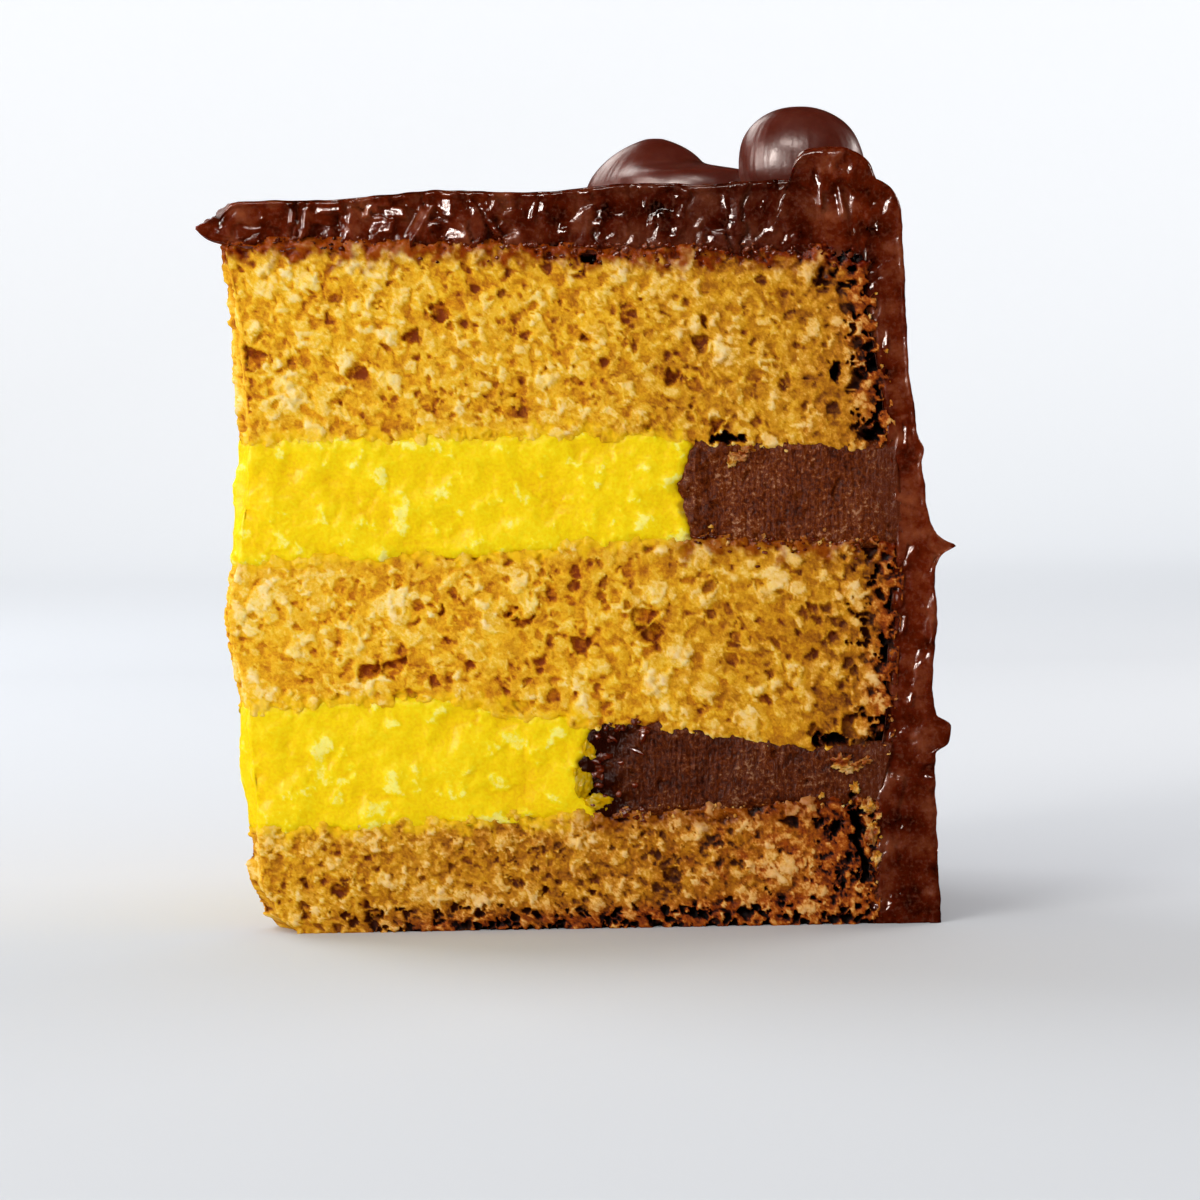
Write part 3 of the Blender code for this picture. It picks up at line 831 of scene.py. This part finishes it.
def buildKiss(name, kiss):
    angle = math.radians(kiss["angle"])
    width, height, belly = kiss["width"], kiss["height"], kiss["belly"]
    mesh = bmesh.new()
    outline = [(0.0, -0.04), (kiss["foot"], -0.04)]
    for step in range(kissSteps["foot"]):  # from the foot out to the belly
        share = step / kissSteps["foot"]
        outline.append((mix(kiss["foot"], 1, math.sin(share * math.pi / 2)), belly * share))
    for step in range(kissSteps["dome"] + 1):  # from the belly over to the peak
        turn = math.radians(90 * step / kissSteps["dome"])
        outline.append((math.cos(turn) ** kiss["slope"], belly + (1 - belly) * math.sin(turn)))
    points = [mesh.verts.new((share * width / 2, 0, up * height)) for share, up in outline]
    edges = [mesh.edges.new(pair) for pair in zip(points, points[1:])]
    bmesh.ops.spin(
        mesh, geom=points + edges, axis=(0, 0, 1), cent=(0, 0, 0), angle=2 * math.pi,
        steps=kissSteps["round"], use_merge=True)
    bmesh.ops.remove_doubles(mesh, verts=mesh.verts, dist=0.001)
    for vert in mesh.verts:
        up = vert.co.z / height
        turn = math.atan2(vert.co.y, vert.co.x)
        towardsTail = max(0, math.cos(turn - kissTail)) ** 3
        swell = 1 + 0.07 * noise.noise(vert.co / 9 + Vector((kiss["radius"], angle, 0)))
        swell += kiss["tail"] * towardsTail * (1 - ease(0.34, 0.62, up))
        wrinkle = noise.noise(Vector((math.cos(turn) * 7, math.sin(turn) * 7, up * 2 + kiss["radius"])))
        streak = noise.noise(Vector((math.cos(turn) * 16, math.sin(turn) * 16, up * 2.5 + kiss["radius"])))
        swell += 0.012 * wrinkle * max(0, 1 - up) + 0.006 * streak * ease(0.98, 0.8, up)
        lean = kiss["lean"] * up * up
        dimple = 0.5 * math.exp(-((vert.co.x ** 2 + vert.co.y ** 2) / 0.5)) * (up > 0.8)
        vert.co = Vector((vert.co.x * swell, vert.co.y * swell + lean, vert.co.z - dimple))
    base = along(coat["topHeight"], kiss["radius"]) + 0.3
    place = Matrix.Translation(onCake(kiss["radius"], angle, base)) @ Matrix.Rotation(angle, 4, "Z")
    bmesh.ops.transform(mesh, matrix=place, verts=mesh.verts)
    addPiece(name, mesh, kissFrosting, "coat_frosting", kiss["node"])


for name, kiss in kisses.items():
    buildKiss(name, kiss)


# Crumbs and drops on the cuts. A lump is a small ball, stretched and bitten by noise.

def addLump(mesh, place, size, roughness, seed, detail):  # size: half of its width, depth and height
    made = bmesh.ops.create_icosphere(mesh, subdivisions=detail, radius=1)
    turn = Matrix.Rotation(seed * 2.4, 3, (0.3, 1, 0.2))
    for vert in made["verts"]:
        bite = 1 + roughness * noise.fractal(vert.co * 1.7 + Vector((seed, 0, seed)), 0.7, 2.1, 3)
        spot = turn @ (vert.co * bite)
        vert.co = Vector((spot.x * size[0], spot.y * size[1], spot.z * size[2])) + place


def newLumps():
    mesh = bmesh.new()
    mesh.verts.layers.float_color.new("crumb")
    return mesh


def paintLumps(mesh, shade, wetter):  # wetter: how much more chocolate some of them took up
    shades = mesh.verts.layers.float_color["crumb"]
    bakeAndShade, soak, stain = shade
    for vert in mesh.verts:
        tone = 0.66 + 0.35 * noise.fractal(vert.co / 1.1, 0.7, 2.0, 3)
        more = wetter * ease(-0.15, 0.15, noise.noise(vert.co / 2.2))
        vert[shades] = (bakeAndShade + 0.5 * more, soak + more, stain, tone)


def nearPoint(radius, height, out):  # on the near cut
    return Vector((radius, -out, height))


crumbPlaces = {
    "seed": 11,
    # radius, height, half width, half height, half depth of the loose pieces
    "chunks": (
        (79.6, 71.0, 1.1, 0.6, 0.5), (78.2, 70.3, 0.6, 0.9, 0.4), (80.6, 71.9, 0.8, 0.5, 0.4),
        (94.0, 24.6, 1.3, 0.9, 0.6), (95.9, 24.0, 1.1, 0.7, 0.6), (97.4, 24.7, 0.8, 0.6, 0.5),
        (94.9, 23.4, 0.9, 0.5, 0.5), (98.3, 13.6, 0.8, 1.4, 0.5), (97.9, 18.0, 0.9, 0.9, 0.5),
        (99.2, 10.0, 0.6, 0.9, 0.4), (96.0, 20.8, 0.7, 0.7, 0.5)),
    "onBorders": 90,  # small crumbs dragged along the borders of the chocolate
}


def buildCrumbs():
    draw = random.Random(crumbPlaces["seed"])
    mesh = newLumps()
    for number, (radius, height, halfWidth, halfHeight, halfDepth) in enumerate(crumbPlaces["chunks"]):
        addLump(mesh, nearPoint(radius, height, 0.0), (halfWidth, halfDepth, halfHeight), 1.0, number, 4)
    for number in range(crumbPlaces["onBorders"]):
        kind = draw.random()
        size = draw.uniform(0.1, 0.34)
        if kind < 0.4:
            radius = draw.uniform(74, 100)
            height = along(cake["middleTop"], radius) + draw.gauss(-0.2, 0.7)
        elif kind < 0.75:
            radius = draw.uniform(60, 97)
            height = along(cake["bottomTop"], radius) + draw.gauss(-0.2, 0.7)
        else:
            height = draw.choice((draw.uniform(1, 18), draw.uniform(28, 56), draw.uniform(73, 98)))
            radius = along(cake["rim"], height) + draw.gauss(0.2, 0.6)
        shape = (size * draw.uniform(0.7, 1.3), size * 0.7, size * draw.uniform(0.7, 1.3))
        addLump(mesh, nearPoint(radius, height, 0.0), shape, 0.8, number, 2)
    paintLumps(mesh, (0.75, 0.05, 0.0), 0.6)
    addPiece("looseCrumbs", mesh, sponge, "sponge")


smearShape = {
    "turn": (math.radians(-22), math.radians(-11)),  # towards the light, and up
    "thickness": 0.25,
    "ragged": 0.4,
}


def addSmear(mesh, place, halfWidth, halfHeight, lean):  # a flat, glossy place
    made = bmesh.ops.create_icosphere(mesh, subdivisions=3, radius=1)
    aside, up = smearShape["turn"]
    turn = Matrix.Rotation(aside, 3, "Z") @ Matrix.Rotation(up, 3, "X") @ Matrix.Rotation(lean, 3, "Y")
    for vert in made["verts"]:
        bite = 1 + smearShape["ragged"] * noise.noise(vert.co * 1.4 + place)
        across, height = vert.co.x * halfWidth * bite, vert.co.z * halfHeight * bite
        vert.co = turn @ Vector((across, vert.co.y * smearShape["thickness"], height)) + place


wetPlaces = {  # wet with chocolate
    "seed": 5,
    "underCoat": 170,  # crumbs along the foot of the frosting
    "underRing": 50,  # crumbs below the upper ring
    "inCurd": 26,  # beads where the lower ring ran into the curd
    # radius, height, half width, half height and lean of the smears there
    "smears": (
        (57.0, 25.4, 0.9, 0.3, 0.3), (57.9, 26.0, 0.5, 0.6, 0.6), (57.9, 23.0, 0.4, 0.5, 0.0),
        (60.8, 25.1, 0.6, 0.35, 0.2), (63.2, 26.8, 1.3, 0.35, 0.4), (62.9, 21.7, 0.5, 0.35, 0.0),
        (64.2, 28.9, 0.5, 1.0, 0.1), (59.6, 28.8, 0.9, 0.3, 0.5), (60.4, 20.4, 0.5, 0.5, 0.0)),
    "smearsUnderCoat": 46,
}


def buildWetCrumbs():
    draw = random.Random(wetPlaces["seed"])
    mesh = newLumps()
    for number in range(wetPlaces["underCoat"]):
        radius = draw.uniform(5, 98)
        height = along(cake["topTop"], radius) - draw.expovariate(1.1) + 0.9
        size = draw.uniform(0.12, 0.34)
        shape = (size * draw.uniform(0.7, 2.0), size * 0.7, size * draw.uniform(0.5, 1.2))
        addLump(mesh, nearPoint(radius, height, 0.1), shape, 0.9, number, 2)
    for number in range(wetPlaces["underRing"]):
        radius = draw.uniform(72, 98)
        height = along(cake["middleTop"], radius) - draw.expovariate(1.6) + 0.2
        size = draw.uniform(0.12, 0.26)
        addLump(mesh, nearPoint(radius, height, 0.1), (size * 1.6, size * 0.7, size), 0.9, number + 300, 2)
    for number in range(wetPlaces["inCurd"]):
        radius = draw.uniform(56.4, 65)
        height = draw.uniform(17.6, 31) if radius < 60 else draw.choice((17.2, 30.2)) + draw.gauss(0, 0.8)
        size = draw.uniform(0.25, 0.7)
        shape = (size * draw.uniform(0.7, 1.6), size * 0.6, size * draw.uniform(0.6, 1.4))
        addLump(mesh, nearPoint(radius, height, -0.1), shape, 0.9, number + 400, 3)
    for radius, height, halfWidth, halfHeight, lean in wetPlaces["smears"]:
        out = ringRelief(radius, height, layers["lowerRing"]["seed"], 1.0, ease(65, 59, radius))[0]
        addSmear(mesh, nearPoint(radius, height, out + 0.15), halfWidth, halfHeight, lean)
    for number in range(wetPlaces["smearsUnderCoat"]):
        radius = draw.uniform(34, 99)
        height = along(cake["topTop"], radius) - draw.expovariate(1.4) + 0.5
        size = draw.uniform(0.2, 0.42)
        place = nearPoint(radius, height, 0.05)
        addSmear(mesh, place, size * draw.uniform(0.7, 1.7), size, draw.uniform(-0.6, 0.6))
    paintLumps(mesh, (0.15, 1.0, 0.0), 0.0)
    addPiece("wetCrumbs", mesh, coatFrosting, "coat_frosting")


dropPlaces = {  # curd caught in the wet chocolate where the lower ring starts
    # radius, height, half width, half height, half depth
    "drops": ((56.2, 27.2, 1.0, 1.5, 0.5), (55.0, 22.2, 1.5, 2.2, 0.5), (57.4, 19.2, 2.0, 1.2, 0.5)),
    "smears": (
        (55.6, 27.9, 0.3, 0.9, 0.1), (54.8, 22.0, 0.5, 1.2, 0.2), (53.9, 23.8, 0.25, 0.6, 0.0),
        (56.8, 19.4, 0.8, 0.35, 0.2), (56.6, 26.2, 0.5, 0.3, 0.4)),
}


def buildDrops():
    mesh = newLumps()
    for number, (radius, height, halfWidth, halfHeight, halfDepth) in enumerate(dropPlaces["drops"]):
        size = (halfWidth, halfDepth, halfHeight)
        addLump(mesh, nearPoint(radius, height, -0.1), size, 0.3, number * 3.7, 4)
    for radius, height, halfWidth, halfHeight, lean in dropPlaces["smears"]:
        addSmear(mesh, nearPoint(radius, height, 0.35), halfWidth, halfHeight, lean)
    paintLumps(mesh, (0.0, 1.0, 0.75), 0.0)
    addPiece("curdDrops", mesh, curd, "curd")


buildCrumbs()
buildWetCrumbs()
buildDrops()


# Floor, light and camera, in metres

studio = {
    "floor": "cbcfd5",
    "reach": 3,  # how far the floor and the wall run
    "wallDistance": 1.1,
    "bend": 0.5,
    "bendSteps": 24,
    "glowFrom": (0.5, 1.6),  # where the board's own glow sets in and is full
    "glow": 0.53,
    "air": ("f8f8f8", 0.6),  # colour and strength of the light from all round
}


def buildFloor():  # a pale sweep: floor, bend and wall in one strip
    mesh = bmesh.new()
    bend, wall, reach = studio["bend"], studio["wallDistance"], studio["reach"]
    start = mesh.verts.new((-reach, -reach, 0))
    front = mesh.verts.new((-reach, wall, 0))
    mesh.edges.new((start, front))
    bent = bmesh.ops.spin(
        mesh, geom=[front], axis=(1, 0, 0), cent=(-reach, wall, bend), angle=math.pi / 2,
        steps=studio["bendSteps"])
    last = [v for v in bent["geom_last"] if isinstance(v, bmesh.types.BMVert)][0]
    top = mesh.verts.new((-reach, wall + bend, reach))
    mesh.edges.new((last, top))
    grown = bmesh.ops.extrude_edge_only(mesh, edges=mesh.edges[:])
    moved = [v for v in grown["geom"] if isinstance(v, bmesh.types.BMVert)]
    bmesh.ops.translate(mesh, verts=moved, vec=(2 * reach, 0, 0))
    material, tree, shader = newMaterial("glowingBoard")  # matt paint, glowing by its own emission where it rises: painted light that stands in for a backdrop lit from behind
    place = addNode(tree, "TexCoord", {})["Object"]
    depth = addNode(tree, "SeparateXYZ", {"Vector": place})["Y"]
    near, far = studio["glowFrom"]
    glow = addNode(tree, "MapRange", {
        "Value": depth, "From Min": near, "From Max": far, "To Min": 0.0, "To Max": studio["glow"],
    })
    tree.links.new(glow["Result"], shader.inputs["Emission Strength"])
    shader.inputs["Emission Color"].default_value = fromHex("ffffff")
    shader.inputs["Base Color"].default_value = fromHex(studio["floor"])
    shader.inputs["Roughness"].default_value = 0.9
    shader.inputs["Specular IOR Level"].default_value = 0.1
    floor = asObject("floor", mesh, material)
    floor.visible_glossy = False  # black flags round the set keep the chocolate's gloss dark


# place, target, size, watts, colour, and whether it lights (soft) or only gleams (glint)
lights = {
    "softLeft": ((-0.85, -0.9, 0.55), (0, 0, 0.06), (0.7, 0.9), 10, "fffaf2", "soft"),
    "softBack": ((-0.6, 0.5, 0.6), (0, 0, 0.1), (0.5, 0.5), 5, "ffffff", "soft"),
    "softRight": ((0.6, 0.35, 0.4), (0.05, 0, 0.07), (0.4, 0.4), 2.4, "fff4e8", "soft"),
    "glintLeft": ((-0.62, -0.66, 0.4), (0, -0.03, 0.08), (0.18, 0.3), 13, "fff2ea", "glint"),
    "glintSide": ((-0.9, -0.1, 0.35), (0, 0, 0.1), (0.6, 0.5), 9, "fff2ea", "glint"),
    "glintOutside": ((0.9, 0.45, 0.5), (0.05, 0, 0.06), (0.5, 0.15), 3, "fff6f0", "glint"),
    "glintHigh": ((-0.12, -0.5, 0.62), (0, -0.03, 0.1), (0.3, 0.1), 3, "fff2ea", "glint"),
    "glintBack": ((-0.35, 0.55, 0.5), (0.02, 0, 0.12), (0.5, 0.2), 1.5, "fff6f0", "glint"),
}


def addLight(name, place, target, size, power, colour, kind):
    data = bpy.data.lights.new(name, "AREA")
    data.shape = "RECTANGLE"
    data.size, data.size_y = size
    data.energy = power
    data.color = fromHex(colour)[:3]
    light = bpy.data.objects.new(name, data)
    light.location = place
    light.rotation_euler = (Vector(target) - Vector(place)).to_track_quat("-Z", "Y").to_euler()
    light.visible_glossy = kind == "glint"
    light.visible_diffuse = kind == "soft"
    bpy.context.scene.collection.objects.link(light)


def buildStudio():
    buildFloor()
    for name, light in lights.items():
        addLight(name, *light)
    world = bpy.data.worlds.new("studio")
    world.use_nodes = True
    background = world.node_tree.nodes["Background"]
    colour, strength = studio["air"]
    background.inputs["Color"].default_value = fromHex(colour)
    background.inputs["Strength"].default_value = strength
    world.cycles_visibility.glossy = False
    bpy.context.scene.world = world
    bpy.context.scene.view_settings.view_transform = "Standard"


view = {
    "place": (-0.0039, -0.579, 0.081),
    "target": (-0.0039, -0.029, 0.0497),
    "lens": 110,
    "roll": math.radians(1),
}


def buildCamera():
    data = bpy.data.cameras.new("camera")
    data.lens = view["lens"]
    data.sensor_width = 36
    data.clip_start = 0.01
    camera = bpy.data.objects.new("camera", data)
    camera.location = view["place"]
    turn = (Vector(view["target"]) - Vector(view["place"])).to_track_quat("-Z", "Y")
    camera.rotation_euler = (turn.to_matrix() @ Matrix.Rotation(-view["roll"], 3, "Z")).to_euler()
    bpy.context.scene.collection.objects.link(camera)
    bpy.context.scene.camera = camera


buildStudio()
buildCamera()
print("floor, lights and camera set")
